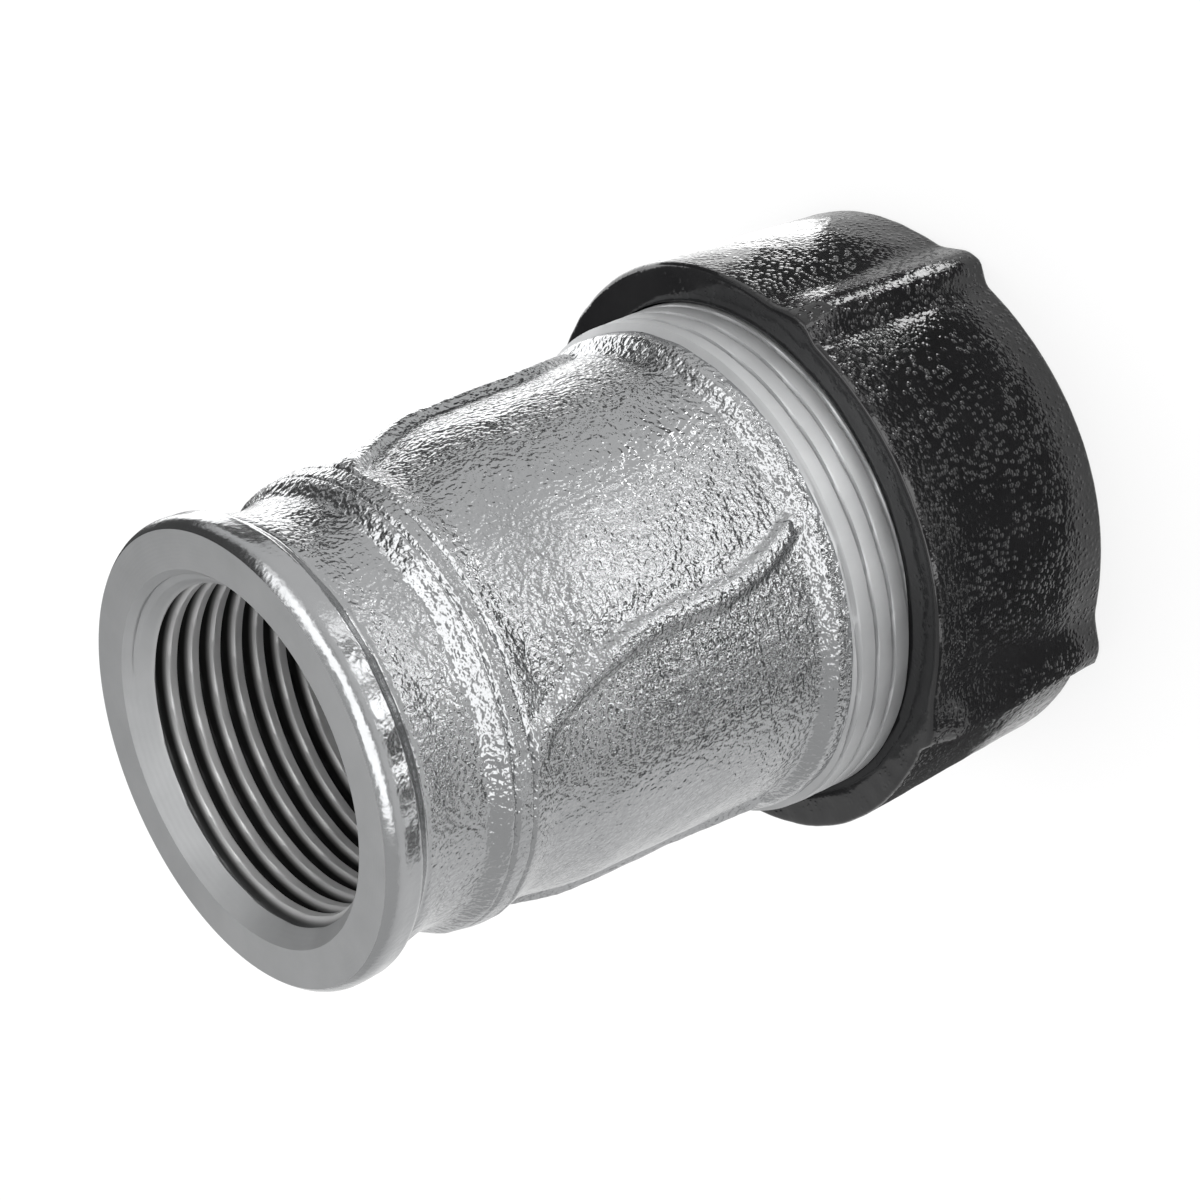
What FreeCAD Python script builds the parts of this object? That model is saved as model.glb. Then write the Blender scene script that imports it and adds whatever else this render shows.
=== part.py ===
# Screw-tightened pipe clamp coupling: a cast fitting body with a female thread at the top and a
# clamping nut at the bottom, with the grip ring, pressure ring and sealing ring inside the nut.
# The axis is +Z, the part stands on the nut's pipe entry face, and lengths are in millimetres.

import FreeCAD, Part
import Sketcher
import os

from FreeCAD import Placement, Rotation, Vector
from math import cos, pi, sin

# Radii grow outwards from two pipe sizes, the female thread's bore and the socket for the pipe.
# Heights are measured up from the nut's entry face, and depths down from the female face.
SIZES = [
    ("total_length", 77.5),
    # Female end of the body
    ("thread_bore_radius", 15.15),
    ("thread_bore_depth", 18.4),
    ("countersink_flare", 1.95),
    ("countersink_depth", 2.2),
    ("relief_step", 1.65),
    ("relief_length", 3.8),
    ("waterway_step", 0.15),
    ("waterway_taper", 2.0),
    ("waterway_length", 3.2),
    ("face_width", 3.3),
    ("bead_swell", 0.95),
    ("bead_round", 1.3),
    ("bead_length", 3.1),
    ("bead_fall", 4.6),
    ("neck_wall", 4.35),
    ("neck_length", 2.0),
    # Rib, barrel and the curved grip ridges round it
    ("rib_height", 1.6),
    ("rib_rise", 4.2),
    ("rib_fall", 3.4),
    ("waist_height", 0.95),
    ("barrel_rise", 8.9),
    ("barrel_wall", 4.0),
    ("ridge_count", 4),
    ("ridge_height", 0.75),
    ("ridge_width", 3.4),
    ("ridge_crest_width", 1.1),
    ("ridge_root", 1.0),
    ("ridge_gap", 1.0),
    ("ridge_angle", -43.5),
    ("ridge_lead_in", 16.0),
    ("ridge_lead_out", 9.0),
    # Clamp end of the body
    ("shoulder_length", 1.7),
    ("land_length", 0.9),
    ("thread_step", 0.7),
    ("male_thread_length", 15.6),
    ("body_end_chamfer", 1.2),
    ("socket_radius", 17.4),
    ("seat_flare", 3.2),
    ("seat_depth", 6.0),
    ("rim_wall", 2.85),
    # Nut
    ("nut_length", 21.7),
    ("nut_wall", 3.3),
    ("nut_draft", 1.2),
    ("nut_edge_round", 1.1),
    ("thread_clearance", 0.05),
    ("nut_mouth_chamfer", 0.8),
    ("entry_clearance", 0.2),
    ("entry_chamfer", 0.8),
    ("entry_wall", 2.2),
    ("lug_count", 4),
    ("lug_height", 1.7),
    ("lug_crest_width", 2.2),
    ("lug_foot_width", 6.4),
    ("lug_root", 1.5),
    # Rings inside the nut
    ("ring_clearance", 0.3),
    ("grip_ring_length", 5.4),
    ("grip_cone_rise", 2.3),
    ("grip_cone_step", 0.4),
    ("grip_tooth_reach", 0.25),
    ("grip_tooth_depth", 0.6),
    ("grip_split_width", 2.4),
    ("pressure_ring_thickness", 1.5),
    ("pressure_ring_lip", 1.0),
    ("pressure_ring_clearance", 0.1),
    ("seal_squeeze", 0.35),
    ("seal_length", 5.2),
    ("seal_collar", 0.4),
    ("seal_clearance", 0.6),
    ("clamping_travel", 2.0),
]

GRIP_TEETH = 3
RIDGE_SECTIONS = 9
CURVE_STEPS = 2

doc = FreeCAD.newDocument("pipe_clamp_coupling")
sheet = doc.addObject("Spreadsheet::Sheet", "sizes")


class Size:
    """A length that keeps both its number, for drawing, and its formula, for the sheet."""

    def __init__(self, number, formula=None):
        self.number = float(number)
        self.formula = formula or repr(self.number)

    def combine(self, other, sign, result):
        return Size(result, "(%s %s %s)" % (self.formula, sign, other.formula))

    def __add__(self, other):
        other = as_size(other)
        return self.combine(other, "+", self.number + other.number)

    def __sub__(self, other):
        other = as_size(other)
        return self.combine(other, "-", self.number - other.number)

    def __mul__(self, other):
        other = as_size(other)
        return self.combine(other, "*", self.number * other.number)

    def __truediv__(self, other):
        other = as_size(other)
        return self.combine(other, "/", self.number / other.number)


def as_size(value):
    return value if isinstance(value, Size) else Size(value)


def fill_sheet():
    """Write each driving size to the sheet under its own name and return the sizes by name."""
    named = {}
    for row, (name, number) in enumerate(SIZES, start=1):
        sheet.set("A%d" % row, name)
        sheet.set("B%d" % row, str(number))
        sheet.setAlias("B%d" % row, name)
        named[name] = Size(number, "sizes." + name)
    doc.recompute()
    return named


size = fill_sheet()


def new_body(name):
    body = doc.addObject("PartDesign::Body", name)
    body.Label = name
    return body


def origin_feature(body, role):
    return [part for part in body.Origin.OriginFeatures if part.Role == role][0]


def new_sketch(body, name, role, height=None, angle=None):
    """A sketch on one of the body's origin planes, raised and turned about its normal."""
    sketch = body.newObject("Sketcher::SketchObject", name)
    sketch.AttachmentSupport = [(origin_feature(body, role), "")]
    sketch.MapMode = "FlatFace"
    if height is not None:
        turn = angle.number if angle is not None else 0
        sketch.AttachmentOffset = Placement(Vector(0, 0, height.number), Rotation(Vector(0, 0, 1), turn))
        sketch.setExpression("AttachmentOffset.Base.z", height.formula)
        if angle is not None:
            sketch.setExpression("AttachmentOffset.Rotation.Angle", angle.formula)
    return sketch


class Outline:
    """A closed sketch outline whose corners are all bound to the sheet."""

    def __init__(self, x, y):
        self.corners = [(as_size(x), as_size(y))]

    def line(self, x, y):
        self.corners.append((as_size(x), as_size(y)))

    def curve(self, x, y, shape):
        """Short sides along a curve; shape gives the share of the width and height at each step."""
        old_x, old_y = self.corners[-1]
        for step in range(1, CURVE_STEPS):
            across, along = shape(step / CURVE_STEPS)
            self.line(old_x + (as_size(x) - old_x) * across, old_y + (as_size(y) - old_y) * along)
        self.line(x, y)

    def round_over(self, x, y):
        """A quarter round that leaves a flat face and ends upright."""
        self.curve(x, y, lambda share: (sin(share * pi / 2), 1 - cos(share * pi / 2)))

    def round_under(self, x, y):
        """A quarter round that starts upright and ends in a flat face."""
        self.curve(x, y, lambda share: (1 - cos(share * pi / 2), sin(share * pi / 2)))

    def draw(self, sketch):
        count = len(self.corners)
        places = [Vector(x.number, y.number, 0) for x, y in self.corners]
        for index in range(count):
            sketch.addGeometry(Part.LineSegment(places[index], places[(index + 1) % count]))
        for index, (x, y) in enumerate(self.corners):
            sketch.addConstraint(Sketcher.Constraint("Coincident", index, 2, (index + 1) % count, 1))
            self.bind(sketch, "DistanceX", index, x)
            self.bind(sketch, "DistanceY", index, y)
        return sketch

    @staticmethod
    def bind(sketch, kind, index, value):
        number = sketch.addConstraint(Sketcher.Constraint(kind, -1, 1, index, 1, value.number))
        sketch.setExpression("Constraints[%d]" % number, value.formula)


def revolve(body, name, outline, feature="PartDesign::Revolution"):
    """Turn an outline in the XZ plane once round the Z axis, to add or, as a groove, to cut."""
    sketch = new_sketch(body, name + "_section", "XZ_Plane")
    outline.draw(sketch)
    turned = body.newObject(feature, name)
    turned.Profile = sketch
    turned.ReferenceAxis = (sketch, ["V_Axis"])
    turned.Angle = 360
    sketch.Visibility = False
    return turned


def repeat_round(body, feature, name, count):
    """Repeat one feature evenly round the Z axis."""
    doc.recompute()
    pattern = body.newObject("PartDesign::PolarPattern", name)
    pattern.Originals = [feature]
    pattern.Axis = (origin_feature(body, "Z_Axis"), [""])
    pattern.Angle = 360
    pattern.Occurrences = int(count.number)
    pattern.setExpression("Occurrences", count.formula)
    body.Tip = pattern
    return pattern


def loft(body, name, sketches):
    solid = body.newObject("PartDesign::AdditiveLoft", name)
    solid.Profile = sketches[0]
    solid.Sections = sketches[1:]
    for sketch in sketches:
        sketch.Visibility = False
    return solid


# Radii that follow from the driving sizes
thread_bore = size["thread_bore_radius"]
neck = thread_bore + size["neck_wall"]
socket = size["socket_radius"]
barrel = socket + size["barrel_wall"]
seat_mouth = socket + size["seat_flare"]
male_thread = seat_mouth + size["rim_wall"]
nut_bore = male_thread + size["thread_clearance"]
nut_top_radius = nut_bore + size["nut_wall"]
nut_bottom_radius = nut_top_radius - size["nut_draft"]
pressure_ring_radius = seat_mouth + size["pressure_ring_lip"]
grip_large = pressure_ring_radius - size["grip_cone_step"]
grip_small = grip_large - size["grip_cone_rise"]
seal_bore = socket - size["seal_squeeze"]

# Heights that follow from the driving sizes, down from the female face and then up from the entry
# face. The body's clamp end stands clear of the seal by the seal's clearance and the nut's travel.
top = size["total_length"]
bead_low = top - size["bead_round"] - size["bead_length"]
neck_high = bead_low - size["bead_fall"]
neck_low = neck_high - size["neck_length"]
rib_middle = neck_low - size["rib_rise"]
waist_middle = rib_middle - size["rib_fall"]
barrel_high = waist_middle - size["barrel_rise"]
bore_end = top - size["thread_bore_depth"]
relief_end = bore_end - size["relief_length"]
waterway_high = relief_end - size["waterway_taper"]
socket_stop = waterway_high - size["waterway_length"]
grip_low = size["entry_wall"] + size["ring_clearance"]
grip_high = grip_low + size["grip_ring_length"]
pressure_high = grip_high + size["pressure_ring_thickness"]
seal_high = pressure_high + size["seal_length"]
travel_end = pressure_high + size["seal_collar"]
body_end = travel_end + size["clamping_travel"] + size["seal_clearance"]
male_thread_high = body_end + size["male_thread_length"]
land_high = male_thread_high + size["land_length"]
barrel_low = land_high + size["shoulder_length"]
nut_high = size["nut_length"]


def make_fitting_body():
    body = new_body("fitting_body")
    face = thread_bore + size["countersink_flare"] + size["face_width"]
    bead = face + size["bead_swell"]
    relief = thread_bore + size["relief_step"]
    waterway = thread_bore - size["waterway_step"]
    land = male_thread - size["thread_step"]
    section = Outline(face, top)
    section.round_over(bead, top - size["bead_round"])
    section.line(bead, bead_low)
    section.line(neck, neck_high)
    section.line(neck, neck_low)
    section.line(neck + size["rib_height"], rib_middle)
    section.line(neck + size["waist_height"], waist_middle)
    section.line(barrel, barrel_high)
    section.line(barrel, barrel_low)
    section.round_under(land, land_high)
    section.line(land, male_thread_high)
    section.line(male_thread, male_thread_high - size["thread_step"])
    section.line(male_thread, body_end + size["body_end_chamfer"])
    section.line(male_thread - size["body_end_chamfer"], body_end)
    section.line(seat_mouth, body_end)
    section.line(socket, body_end + size["seat_depth"])
    section.line(socket, socket_stop)
    section.line(waterway, socket_stop)
    section.line(waterway, waterway_high)
    section.line(relief, relief_end)
    section.line(relief, bore_end)
    section.line(thread_bore, bore_end)
    section.line(thread_bore, top - size["countersink_depth"])
    section.line(thread_bore + size["countersink_flare"], top)
    revolve(body, "casting", section)
    add_ridges(body)
    return body


def add_ridges(body):
    """Raised ridges that sweep from the rib to the shoulder in a long S, evenly round the barrel."""
    start = rib_middle - size["ridge_gap"]
    run = start - barrel_low - size["ridge_gap"]
    crest_low = neck + size["rib_height"]
    crest_rise = barrel + size["ridge_height"] - crest_low
    half = size["ridge_width"] / 2
    half_crest = size["ridge_crest_width"] / 2
    sketches = []
    for number in range(RIDGE_SECTIONS):
        along = number / (RIDGE_SECTIONS - 1)
        lead_in = max(1 - along / 0.5, 0) ** 2
        lead_out = max((along - 0.65) / 0.35, 0) ** 2
        angle = size["ridge_angle"] - size["ridge_lead_in"] * lead_in + size["ridge_lead_out"] * lead_out
        crest = crest_low + crest_rise * min(along / 0.3, 1)
        foot = crest - size["ridge_height"]
        root = foot - size["ridge_root"]
        sketch = new_sketch(body, "ridge_section_%d" % number, "XY_Plane", start - run * along, angle)
        section = Outline(root, half * -1)
        section.line(foot, half * -1)
        section.line(crest, half_crest * -1)
        section.line(crest, half_crest)
        section.line(foot, half)
        section.line(root, half)
        sketches.append(section.draw(sketch))
    repeat_round(body, loft(body, "ridge", sketches), "ridges", size["ridge_count"])


def make_clamping_nut():
    body = new_body("clamping_nut")
    edge = size["nut_edge_round"]
    chamber = pressure_ring_radius + size["ring_clearance"]
    entry = socket + size["entry_clearance"]
    section = Outline(nut_top_radius - edge, nut_high)
    section.round_over(nut_top_radius, nut_high - edge)
    section.line(nut_bottom_radius, edge)
    section.round_under(nut_bottom_radius - edge, 0)
    section.line(entry + size["entry_chamfer"], 0)
    section.line(entry, size["entry_chamfer"])
    section.line(entry, size["entry_wall"])
    section.line(grip_small + size["ring_clearance"], size["entry_wall"])
    section.line(chamber, grip_high - size["ring_clearance"])
    section.line(chamber, travel_end)
    section.line(nut_bore, travel_end)
    section.line(nut_bore, nut_high - size["nut_mouth_chamfer"])
    section.line(nut_bore + size["nut_mouth_chamfer"], nut_high)
    revolve(body, "nut_casting", section)
    add_lugs(body)
    return body


def add_lugs(body):
    """Wrench lugs the whole length of the nut, with hollow flanks and rounded ends."""
    half_foot = size["lug_foot_width"] / 2
    half_crest = size["lug_crest_width"] / 2
    half_flank = half_crest + (half_foot - half_crest) * 0.3
    sketches = []
    for name, height, radius in (("low", Size(0), nut_bottom_radius), ("high", nut_high, nut_top_radius)):
        foot = radius - half_foot * half_foot / (radius * 2)
        flank = radius + size["lug_height"] * 0.4
        crest = radius + size["lug_height"]
        shoulder = crest - (crest - flank) * 0.3
        sketch = new_sketch(body, "lug_section_" + name, "XY_Plane", height)
        section = Outline(foot - size["lug_root"], half_foot * -1)
        section.line(foot, half_foot * -1)
        section.line(flank, half_flank * -1)
        section.line(shoulder, half_crest * -1)
        section.line(crest, half_crest * -0.4)
        section.line(crest, half_crest * 0.4)
        section.line(shoulder, half_crest)
        section.line(flank, half_flank)
        section.line(foot, half_foot)
        section.line(foot - size["lug_root"], half_foot)
        sketches.append(section.draw(sketch))
    lug = loft(body, "lug", sketches)
    lug.Ruled = True
    repeat_round(body, lug, "lugs", size["lug_count"])
    doc.recompute()
    edge = size["nut_edge_round"]
    beyond = size["lug_height"] * 2
    crest_high = nut_top_radius + size["lug_height"]
    crest_low = nut_bottom_radius + size["lug_height"]
    upper = Outline(crest_high - edge, nut_high)
    upper.line(crest_high, nut_high - edge)
    upper.line(crest_high + beyond, nut_high - edge)
    upper.line(crest_high + beyond, nut_high + beyond)
    upper.line(crest_high - edge, nut_high + beyond)
    revolve(body, "upper_lug_chamfer", upper, "PartDesign::Groove")
    lower = Outline(crest_low, edge)
    lower.line(crest_low - edge, 0)
    lower.line(crest_low - edge, Size(0) - beyond)
    lower.line(crest_low + beyond, Size(0) - beyond)
    lower.line(crest_low + beyond, edge)
    revolve(body, "lower_lug_chamfer", lower, "PartDesign::Groove")


def make_grip_ring():
    """The split clamp ring: a cone outside, ring-shaped teeth inside and one slot through the wall."""
    body = new_body("grip_ring")
    tip = socket - size["grip_tooth_reach"]
    root = tip + size["grip_tooth_depth"]
    pitch = size["grip_ring_length"] / GRIP_TEETH
    section = Outline(grip_large, grip_high)
    section.line(grip_small, grip_low)
    section.line(root, grip_low)
    for tooth in range(GRIP_TEETH):
        section.line(tip, grip_low + pitch * (tooth + 0.8))
        section.line(root, grip_low + pitch * (tooth + 1))
    revolve(body, "toothed_cone", section)
    doc.recompute()
    sketch = new_sketch(body, "split_section", "XY_Plane")
    half = size["grip_split_width"] / 2
    slot = Outline(tip / 2, half * -1)
    slot.line(grip_large * 1.2, half * -1)
    slot.line(grip_large * 1.2, half)
    slot.line(tip / 2, half)
    slot.draw(sketch)
    split = body.newObject("PartDesign::Pocket", "split")
    split.Profile = sketch
    split.Type = "ThroughAll"
    split.Reversed = True
    return body


def make_pressure_ring():
    body = new_body("pressure_ring")
    bore = socket + size["pressure_ring_clearance"]
    section = Outline(bore, pressure_high)
    section.line(pressure_ring_radius, pressure_high)
    section.line(pressure_ring_radius, grip_high)
    section.line(bore, grip_high)
    revolve(body, "flat_ring", section)
    return body


def make_sealing_ring():
    """The rubber ring, whose cone stays parallel to the body's seat."""
    body = new_body("sealing_ring")
    slope = (seat_mouth - socket) / size["seat_depth"]
    nose = seat_mouth - (seal_high - travel_end) * slope
    section = Outline(seal_bore, seal_high)
    section.line(nose, seal_high)
    section.line(seat_mouth, travel_end)
    section.line(seat_mouth, pressure_high)
    section.line(seal_bore, pressure_high)
    revolve(body, "rubber_ring", section)
    return body


def check_document(bodies):
    doc.recompute()
    for item in doc.Objects:
        if "Invalid" in item.State or "Error" in item.State:
            raise RuntimeError("%s failed: %s" % (item.Label, item.State))
    for body in bodies:
        if body.Shape.isNull() or not body.Shape.isValid() or len(body.Shape.Solids) != 1:
            raise RuntimeError("%s has no valid solid" % body.Label)


def export(bodies):
    os.makedirs("parts", exist_ok=True)
    for body in bodies:
        body.Shape.exportStep("parts/%s.step" % body.Label)
        print(body.Label, round(body.Shape.Volume, 1), body.Shape.BoundBox)


pieces = [
    make_fitting_body(),
    make_clamping_nut(),
    make_grip_ring(),
    make_pressure_ring(),
    make_sealing_ring(),
]
check_document(pieces)
export(pieces)
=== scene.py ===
# Dresses the pipe clamp coupling: a galvanised casting with its machined pipe threads, the black cast
# clamping nut, and the grip ring, pressure ring and sealing ring inside the nut. Lengths are in metres,
# the axis is +Z, and the female face is at the top.
from math import atan2, cos, degrees, floor, hypot, pi, radians, sin

import bpy
from mathutils import Matrix, Vector


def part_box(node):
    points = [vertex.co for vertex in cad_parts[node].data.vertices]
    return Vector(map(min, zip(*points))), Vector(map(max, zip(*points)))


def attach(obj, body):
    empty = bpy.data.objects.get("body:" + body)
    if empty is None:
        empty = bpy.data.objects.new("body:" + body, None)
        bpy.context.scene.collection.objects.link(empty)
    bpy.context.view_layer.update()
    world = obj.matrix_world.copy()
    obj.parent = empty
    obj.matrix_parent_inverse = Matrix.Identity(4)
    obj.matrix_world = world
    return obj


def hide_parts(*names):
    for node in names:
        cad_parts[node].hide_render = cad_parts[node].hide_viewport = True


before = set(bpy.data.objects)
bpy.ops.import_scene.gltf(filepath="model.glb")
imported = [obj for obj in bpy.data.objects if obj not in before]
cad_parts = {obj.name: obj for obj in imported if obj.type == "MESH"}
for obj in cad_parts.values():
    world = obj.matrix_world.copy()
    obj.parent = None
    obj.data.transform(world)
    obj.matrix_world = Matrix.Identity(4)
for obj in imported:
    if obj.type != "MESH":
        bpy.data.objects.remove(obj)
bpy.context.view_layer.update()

MM = 0.001

# Heights and radii that the frame gives
body_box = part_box("fitting_body")
nut_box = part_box("clamping_nut")
grip_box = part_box("grip_ring")
pressure_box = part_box("pressure_ring")
seal_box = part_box("sealing_ring")
TOP = body_box[1].z
BODY_END = body_box[0].z
MALE_RADIUS = body_box[1].x
NUT_TOP = nut_box[1].z
LUG_RADIUS = nut_box[1].x

# Female end of the casting
FACE_RADIUS = 20.65 * MM
BEAD_RADIUS = 21.35 * MM
BEAD_CROWN = 1.55 * MM
BEAD_ROUND = 2.05 * MM
BEAD_DEPTH = 4.9 * MM
THREAD_BORE = 15.15 * MM
THREAD_DEPTH = 1.35 * MM
THREAD_PITCH = 2.309 * MM
THREAD_START = TOP - 4.75 * MM
THREAD_LENGTH = 18.4 * MM
# How much of half a pitch is the flat of the root, and how much is the flank
THREAD_ROOT_SHARE = 0.1
THREAD_FLANK_SHARE = 0.62
COUNTERSINK = 17.1 * MM
COUNTERSINK_DEPTH = 2.2 * MM
RELIEF_RADIUS = 16.8 * MM
RELIEF_LENGTH = 3.8 * MM
WATERWAY_RADIUS = 15.0 * MM
SOCKET_STOP = TOP - 27.4 * MM
HIDDEN_WALL = 18.4 * MM
HIDDEN_REACH = HIDDEN_WALL + 0.5 * MM

# Outer skin of the casting: how far below the female face, and the radius there
SKIN_STATIONS = [
    (BEAD_CROWN, BEAD_RADIUS),
    (3.1 * MM, BEAD_RADIUS - 0.1 * MM),
    (BEAD_DEPTH, 20.1 * MM),
    (8.8 * MM, 19.55 * MM),
    (11.2 * MM, 19.6 * MM),
    (13.5 * MM, 20.9 * MM),
    (15.2 * MM, 21.1 * MM),
    (18.6 * MM, 20.45 * MM),
    (27.5 * MM, 21.4 * MM),
    (46.7 * MM, 21.4 * MM),
    (48.5 * MM, 22.75 * MM),
    (50.2 * MM, 22.75 * MM),
]
RIB_CREASES = [TOP - 13.6 * MM, TOP - 15.4 * MM]
RIB_CREASE_DEPTH = 0.42 * MM
RIB_CREASE_WIDTH = 0.3 * MM
RIB_CREASE_SIDE = radians(-45)
RIDGE_COUNT = 4
RIDGE_TOP = TOP - 16.0 * MM
RIDGE_BOTTOM = TOP - 47.4 * MM
RIDGE_HEIGHT = 0.9 * MM
RIDGE_HALF_WIDTH = 1.5 * MM
RIDGE_HALF_CREST = 0.5 * MM
RIDGE_FLARE = 1.1 * MM
# Where a ridge's middle stands, in degrees, and how far its ends lean before the rib and at the shoulder
RIDGE_MIDDLE = -43.5
RIDGE_LEAD_IN = 16
RIDGE_LEAD_OUT = 9

# Clamp end of the casting
MALE_PITCH = 2.0 * MM
GROOVE_START = 24.0 * MM
GROOVE_DEPTH = 0.6 * MM
GROOVE_HALF_WIDTH = 0.22 * MM
CREST_CROWN = 0.05 * MM
MALE_TOP = 28.0 * MM
SOCKET_RADIUS = 17.4 * MM
SEAT_MOUTH = 20.6 * MM
SEAT_DEPTH = 6.0 * MM
SEAT_TOP = BODY_END + SEAT_DEPTH

# Nut
NUT_TOP_RADIUS = 26.8 * MM
NUT_BOTTOM_RADIUS = 25.6 * MM
NUT_CROWN = 0.5 * MM
NUT_EDGE = 0.45 * MM
NUT_FIT = 0.2 * MM
NUT_MOUTH = 24.3 * MM
NUT_ENTRY = 17.6 * MM
NUT_THREAD_END = 9.8 * MM
CHAMBER_RADIUS = 21.9 * MM
LUG_COUNT = 4
LUG_HALF_CREST = 0.35 * MM
LUG_STEEP_SIDE = 2.6 * MM
LUG_GRADUAL_SIDE = 5.0 * MM
LUG_RUN_OUT = 4.0 * MM

# Rings inside the nut
GRIP_CONE_RISE = 2.3 * MM
GRIP_TOOTH_TIP = 17.15 * MM
GRIP_TOOTH_DEPTH = 0.6 * MM
GRIP_TEETH = 6
GRIP_SPLIT = 2.4 * MM
PRESSURE_BORE = 17.5 * MM
SEAL_BORE = 17.05 * MM


def ease(share):
    """A smooth step from 0 to 1."""
    share = min(max(share, 0.0), 1.0)
    return share * share * (3 - 2 * share)


# Round pieces

# A ring is spun through one sector, and then doubled until it closes.
SECTORS = 16


def deselect_everything():
    if bpy.context.mode != "OBJECT":
        bpy.ops.object.mode_set(mode="OBJECT")
    bpy.ops.object.select_all(action="DESELECT")


def turned_piece(name, outline, segments, gap=0.0):
    """Draw a closed outline in the XZ plane from corner to corner, and spin it round the Z axis.

    Each corner is a radius, a height and the number of cuts on the way to it. A gap, an angle,
    leaves the ring open there, with flat ends. Segments are a multiple of SECTORS.
    """
    deselect_everything()
    radius, height, _ = outline[0]
    bpy.ops.mesh.primitive_plane_add(size=MM, location=(radius, 0, height))
    piece = bpy.context.object
    piece.name = piece.data.name = name
    bpy.ops.object.mode_set(mode="EDIT")
    bpy.ops.mesh.merge(type="CENTER")
    for next_radius, next_height, cuts in outline[1:] + [(radius, height, 1)]:
        step = ((next_radius - radius) / cuts, 0, (next_height - height) / cuts)
        for _ in range(cuts):
            bpy.ops.mesh.extrude_region_move(TRANSFORM_OT_translate={"value": step})
        radius, height = next_radius, next_height
    bpy.ops.mesh.select_all(action="SELECT")
    bpy.ops.mesh.remove_doubles(threshold=0.002 * MM)
    if gap:
        turn_selection(gap / 2)
    sector = (2 * pi - gap) / SECTORS
    # Spin counts the other way too.
    bpy.ops.mesh.spin(steps=segments // SECTORS, angle=-sector, center=(0, 0, 0), axis=(0, 0, 1))
    covered = 1
    while covered < SECTORS:
        bpy.ops.mesh.select_all(action="SELECT")
        bpy.ops.mesh.duplicate()
        turn_selection(sector * covered)
        covered *= 2
    bpy.ops.mesh.select_all(action="SELECT")
    bpy.ops.mesh.remove_doubles(threshold=0.002 * MM)
    if gap:
        bpy.ops.mesh.fill_holes(sides=0)
        bpy.ops.mesh.select_all(action="SELECT")
    bpy.ops.mesh.normals_make_consistent(inside=False)
    bpy.ops.object.mode_set(mode="OBJECT")
    bpy.ops.object.transform_apply(location=True, rotation=True, scale=True)
    return piece


def turn_selection(angle):
    """Turn the selected vertices round the Z axis. The operator counts the other way with no window."""
    bpy.ops.transform.rotate(value=-angle, orient_axis="Z", center_override=(0, 0, 0))


def reshape(piece, rule):
    """Move each vertex in or out from the axis to the radius that the rule gives for it."""
    for vertex in piece.data.vertices:
        x, y, height = vertex.co
        radius = hypot(x, y)
        scale = rule(radius, atan2(y, x), height) / radius
        vertex.co.x = x * scale
        vertex.co.y = y * scale


def smooth_shade(piece, angle=40):
    deselect_everything()
    piece.select_set(True)
    bpy.context.view_layer.objects.active = piece
    bpy.ops.object.shade_smooth_by_angle(angle=radians(angle))


def roughen(piece, name, size, depth, keep_smooth):
    """Give the surface the uneven swell of a sand casting, except where keep_smooth is true."""
    texture = bpy.data.textures.new(name, "CLOUDS")
    texture.noise_scale = size
    texture.noise_depth = 2
    group = piece.vertex_groups.new(name=name)
    for vertex in piece.data.vertices:
        if not keep_smooth(hypot(vertex.co.x, vertex.co.y), vertex.co.z):
            group.add([vertex.index], 1.0, "REPLACE")
    deselect_everything()
    piece.select_set(True)
    bpy.context.view_layer.objects.active = piece
    bpy.ops.object.modifier_add(type="DISPLACE")
    swell = piece.modifiers[-1]
    swell.texture = texture
    swell.texture_coords = "LOCAL"
    swell.vertex_group = group.name
    swell.mid_level = 0.5
    swell.strength = depth
    bpy.ops.object.modifier_apply(modifier=swell.name)


# Galvanised body

def skin_radius(height):
    """The casting's radius at a height, without its ridges, eased between the stations."""
    depth = TOP - height
    if depth < BEAD_CROWN:
        return BEAD_RADIUS - BEAD_ROUND + (BEAD_ROUND ** 2 - (BEAD_CROWN - depth) ** 2) ** 0.5
    for (start, start_radius), (end, end_radius) in zip(SKIN_STATIONS, SKIN_STATIONS[1:]):
        if depth <= end:
            return start_radius + (end_radius - start_radius) * ease((depth - start) / (end - start))
    return SKIN_STATIONS[-1][1]


def ridge_swell(angle, height, radius):
    """How far the nearest ridge raises the skin. Each ridge follows a long S from rib to shoulder."""
    along = (RIDGE_TOP - height) / (RIDGE_TOP - RIDGE_BOTTOM)
    if not -0.1 < along < 1.05:
        return 0.0
    lead_in = RIDGE_LEAD_IN * max(1 - along / 0.5, 0) ** 2
    lead_out = RIDGE_LEAD_OUT * max((along - 0.65) / 0.35, 0) ** 2
    middle = RIDGE_MIDDLE - lead_in + lead_out
    spacing = 360 / RIDGE_COUNT
    offset = (degrees(angle) - middle + spacing / 2) % spacing - spacing / 2
    across = abs(radians(offset)) * radius
    half_width = RIDGE_HALF_WIDTH + RIDGE_FLARE * max(1 - along / 0.16, 0) ** 2
    rise = ease((half_width - across) / (half_width - RIDGE_HALF_CREST))
    return RIDGE_HEIGHT * rise * ease((along + 0.06) / 0.1) * ease((1.03 - along) / 0.07)


def skin_rule(radius, angle, height):
    if radius < HIDDEN_REACH:
        return radius
    skin = skin_radius(height)
    # The creases beside the rib are deepest on one side of the casting, and almost gone on the other.
    strength = 0.55 + 0.45 * cos(angle - RIB_CREASE_SIDE)
    for crease in RIB_CREASES:
        skin -= RIB_CREASE_DEPTH * strength * ease(1 - abs(height - crease) / RIB_CREASE_WIDTH)
    return skin + ridge_swell(angle, height, skin)


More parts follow.
